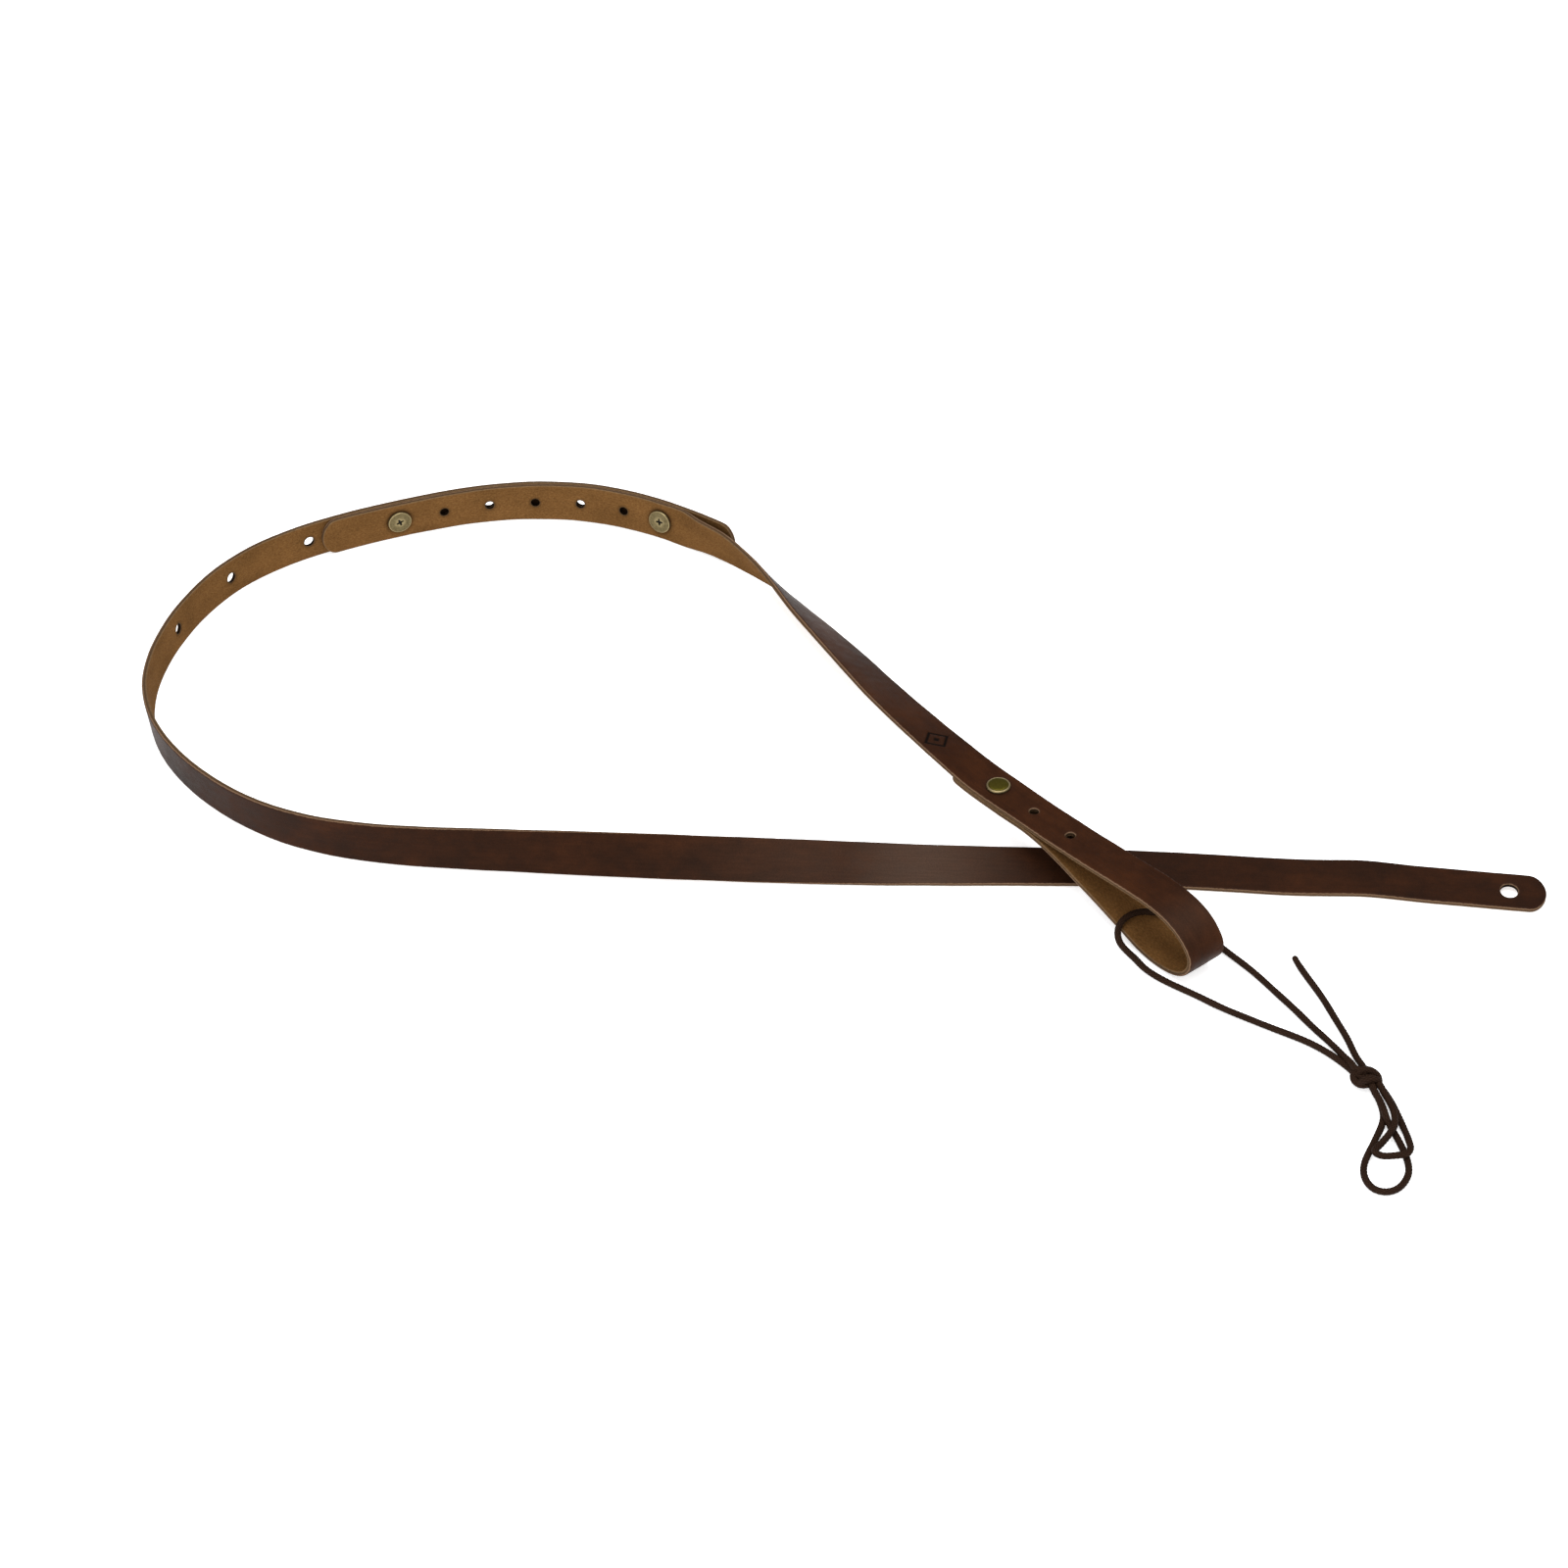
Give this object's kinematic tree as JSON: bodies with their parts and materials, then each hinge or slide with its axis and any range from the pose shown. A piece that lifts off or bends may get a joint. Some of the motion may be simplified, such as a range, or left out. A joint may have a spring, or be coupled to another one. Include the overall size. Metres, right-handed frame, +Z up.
{
  "type": "leather guitar strap",
  "caption": "Slim leather guitar strap with a rounded buttonhole end, a screw-set length adjuster, a folded leather loop and a knotted braided lace.",
  "frame": {"origin": "middle of the footprint, on the table the strap lies on", "axes": "+X along the front run of the long strap towards its buttonhole end, +Y away from that run towards the adjuster, +Z up from the table"},
  "size_m": [0.6062, 0.4579, 0.0287],
  "materials": {
    "strap_leather": "oiled dark brown grain side, raw tan suede flesh side, light brown cut edges",
    "antique_brass": "aged brass, satin, with brighter worn rims",
    "lace_cord": "tight round braid, matte dark brown"
  },
  "bodies": {
    "strap_run": {"long_strap": "strap_leather", "short_strap": "strap_leather"},
    "strap_end": {"long_strap_end": "strap_leather"},
    "strap_tip": {"long_strap_tip": "strap_leather"},
    "loop_end": {"short_strap_loop": "strap_leather"},
    "left_post": {"post_left": "antique_brass"},
    "left_screw": {"screw_left": "antique_brass"},
    "right_post": {"post_right": "antique_brass"},
    "right_screw": {"screw_right": "antique_brass"},
    "loop_post": {"post_loop": "antique_brass"},
    "loop_screw": {"screw_loop": "antique_brass"},
    "lace": {"lace_tether": "lace_cord", "lace_knot": "lace_cord"},
    "tail": {"lace_tail": "lace_cord"},
    "bow": {"lace_bow_ring": "lace_cord", "lace_bow_triangle": "lace_cord"}
  },
  "joints": [
    {"name": "end_flex", "type": "hinge", "parent": "strap_run", "child": "strap_end", "pos_m": [0.16597, -0.04204, 0.00366], "axis": [-0.0866, -0.9838, -0.1568], "range_deg": [0, 50]},
    {"name": "tip_flex", "type": "hinge", "parent": "strap_end", "child": "strap_tip", "pos_m": [0.24362, -0.04797, 0.0035], "axis": [-0.1741, -0.9749, -0.1392], "range_deg": [0, 60]},
    {"name": "loop_flex", "type": "hinge", "parent": "strap_run", "child": "loop_end", "pos_m": [0.02626, 0.06982, 0.01657], "axis": [-0.8697, -0.4214, 0.257], "range_deg": [0, 40]},
    {"name": "lace_swing", "type": "hinge", "parent": "loop_end", "child": "lace", "pos_m": [0.12945, -0.07326, 0.0095], "axis": [-0.7749, -0.632, 0], "range_deg": [0, 35]},
    {"name": "tail_flex", "type": "hinge", "parent": "lace", "child": "tail", "pos_m": [0.21285, -0.15926, 0.0022], "axis": [0, 0, 1], "range_deg": [-35, 10]},
    {"name": "bow_flex", "type": "hinge", "parent": "lace", "child": "bow", "pos_m": [0.21665, -0.17286, 0.003], "axis": [0, 0, 1], "range_deg": [-20, 20]},
    {"name": "left_screw_turn", "type": "hinge", "parent": "strap_run", "child": "left_screw", "pos_m": [-0.20012, 0.20799, 0.00935], "axis": [0.368, -0.9272, -0.0702], "range_deg": [0, 2160]},
    {"name": "left_post_slide", "type": "slide", "parent": "strap_run", "child": "left_post", "axis": [-0.368, 0.9272, 0.0702], "range_m": [0, 0.0042]},
    {"name": "right_screw_turn", "type": "hinge", "parent": "strap_run", "child": "right_screw", "pos_m": [-0.0762, 0.20771, 0.00978], "axis": [-0.4851, -0.8729, 0.0533], "range_deg": [0, 2160]},
    {"name": "right_post_slide", "type": "slide", "parent": "strap_run", "child": "right_post", "axis": [0.4851, 0.8729, -0.0533], "range_m": [0, 0.0042]},
    {"name": "loop_screw_turn", "type": "hinge", "parent": "loop_end", "child": "loop_screw", "pos_m": [0.07489, -0.00811, 0.01675], "axis": [0.0326, -0.0117, -0.9994], "range_deg": [0, 2160]},
    {"name": "loop_post_slide", "type": "slide", "parent": "loop_end", "child": "loop_post", "axis": [-0.0326, 0.0117, 0.9994], "range_m": [0, 0.0042]}
  ],
  "couplings": [
    {"joint": "left_screw_turn", "follows": "left_post_slide", "rad_per_m": 8975.9},
    {"joint": "right_screw_turn", "follows": "right_post_slide", "rad_per_m": 8975.9},
    {"joint": "loop_screw_turn", "follows": "loop_post_slide", "rad_per_m": 8975.9}
  ]
}
